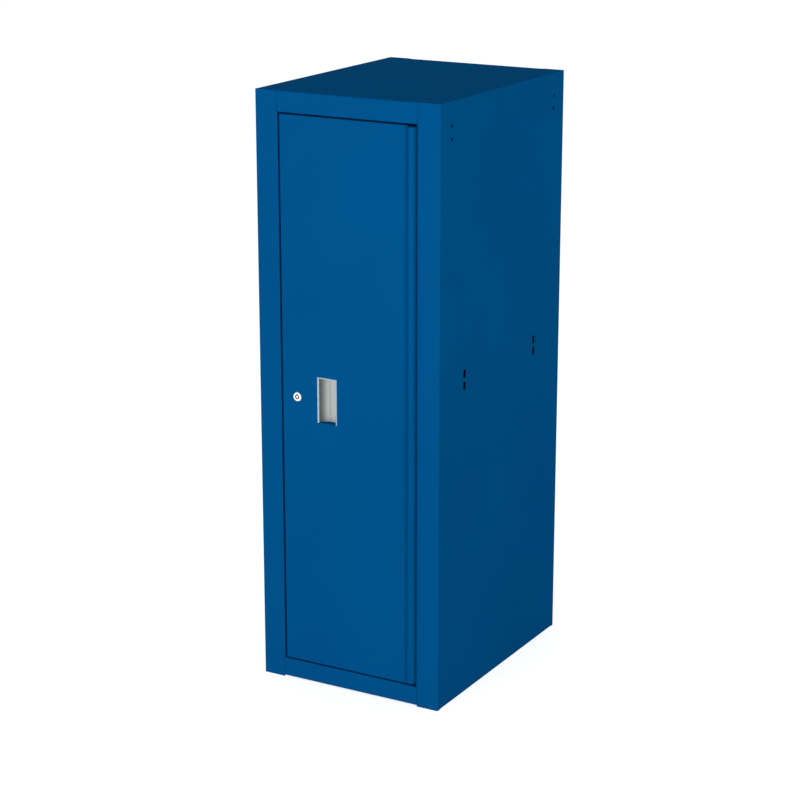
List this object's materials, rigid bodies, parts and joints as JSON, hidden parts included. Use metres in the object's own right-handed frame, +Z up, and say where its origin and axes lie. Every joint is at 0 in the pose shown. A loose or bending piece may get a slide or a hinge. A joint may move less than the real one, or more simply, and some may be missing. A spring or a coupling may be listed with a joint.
{
  "type": "tool chest side locker",
  "caption": "Tall blue folded-steel side locker with a full-height door on a continuous hinge, recessed pull, key cam lock and adjustable shelves.",
  "frame": {"origin": "Bottom centre of the overall box: at floor level, at mid-width, and midway between the front of the hinge knuckles and the rear flanges.", "axes": "+Z up. +X towards the hinge side, which is on the right for someone facing the door. +Y towards the back, so the door faces -Y."},
  "size_m": [0.336, 0.4431, 1],
  "materials": {
    "blue_paint": "smooth satin powder coat",
    "hinge_paint": "smooth satin powder coat",
    "shelf_paint": "satin powder coat",
    "pull_metal": "satin",
    "lock_chrome": "polished",
    "lock_steel": "satin",
    "pin_steel": "bright drawn",
    "zinc": "zinc plated",
    "magnet_metal": "nickel plated",
    "catch_plastic": "matte",
    "bumper_rubber": "matte"
  },
  "bodies": {
    "cabinet": {"left_side_panel": "blue_paint", "right_side_panel": "blue_paint", "top_panel": "blue_paint", "bottom_panel": "blue_paint", "back_panel": "blue_paint", "shelf_standard_left_front": "shelf_paint", "shelf_standard_left_rear": "shelf_paint", "shelf_standard_right_front": "shelf_paint", "shelf_standard_right_rear": "shelf_paint", "shelf_upper": "shelf_paint", "shelf_middle": "shelf_paint", "shelf_lower": "shelf_paint", "shelf_clips": "zinc", "hinge_frame_leaf": "hinge_paint", "hinge_pin": "pin_steel", "catch_housings": "catch_plastic", "catch_magnets": "magnet_metal", "door_bumpers": "bumper_rubber"},
    "door": {"door_skin": "blue_paint", "door_inner_panel": "blue_paint", "door_stiffener": "blue_paint", "hinge_door_leaf": "hinge_paint", "pull_cup": "pull_metal", "pull_clips": "zinc", "lock_barrel": "lock_chrome", "lock_nut": "zinc"},
    "lock_rotor": {"lock_plug": "lock_steel", "lock_cam": "zinc", "cam_screw": "zinc"}
  },
  "joints": [
    {"name": "door_swing", "type": "hinge", "parent": "cabinet", "child": "door", "pos_m": [0.1189, -0.21345, 0.50195], "axis": [0, 0, 1], "range_deg": [0, 170]},
    {"name": "lock_turn", "type": "hinge", "parent": "door", "child": "lock_rotor", "pos_m": [-0.0952, -0.20095, 0.5009], "axis": [0, 1, 0], "range_deg": [0, 90]}
  ]
}
